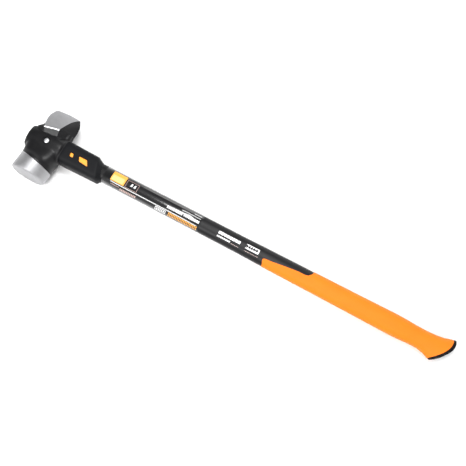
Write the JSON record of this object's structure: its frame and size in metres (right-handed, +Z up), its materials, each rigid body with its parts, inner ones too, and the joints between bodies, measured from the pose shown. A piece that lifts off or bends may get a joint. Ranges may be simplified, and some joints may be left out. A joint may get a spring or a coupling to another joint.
{
  "type": "splitting maul",
  "caption": "Long-handled splitting maul: round poll, flared wedge, eye pinned to an oval composite handle with strike collar, soft grip and slanted pommel.",
  "frame": {"origin": "middle of the whole tool's box, on the surface that it lies on", "axes": "+X along the handle from the head to the pommel, +Y from the striking face to the cutting edge, +Z up out of the upper cheek"},
  "size_m": [0.914, 0.15, 0.072],
  "materials": {
    "forged_steel": "forged steel, black painted round the eye, ground bright on the poll and the wedge",
    "pin_steel": "bright turned steel",
    "black_plastic": "moulded, satin",
    "orange_elastomer": "moulded orange elastomer, satin",
    "black_rubber": "moulded rubber, matte",
    "collar_rubber": "hard overmoulded elastomer, satin",
    "fibreglass": "pultruded glass fibre rod",
    "grey_elastomer": "injected damping layer",
    "black_composite": "glass filled nylon, fine satin texture",
    "label_film": null,
    "orange_grip": "soft touch overmould, fine matte texture",
    "cap_plastic": "moulded, satin"
  },
  "bodies": {
    "root": {"maul_head": "forged_steel", "cross_pin": "pin_steel", "eye_cap": "black_plastic", "isolation_sleeve": "orange_elastomer", "seal_ring": "black_rubber", "strike_collar": "collar_rubber", "core_rod": "fibreglass", "core_jacket": "grey_elastomer", "shaft_shell": "black_composite", "label_wrap": "label_film", "grip": "orange_grip", "end_cap": "cap_plastic"}
  },
  "joints": []
}
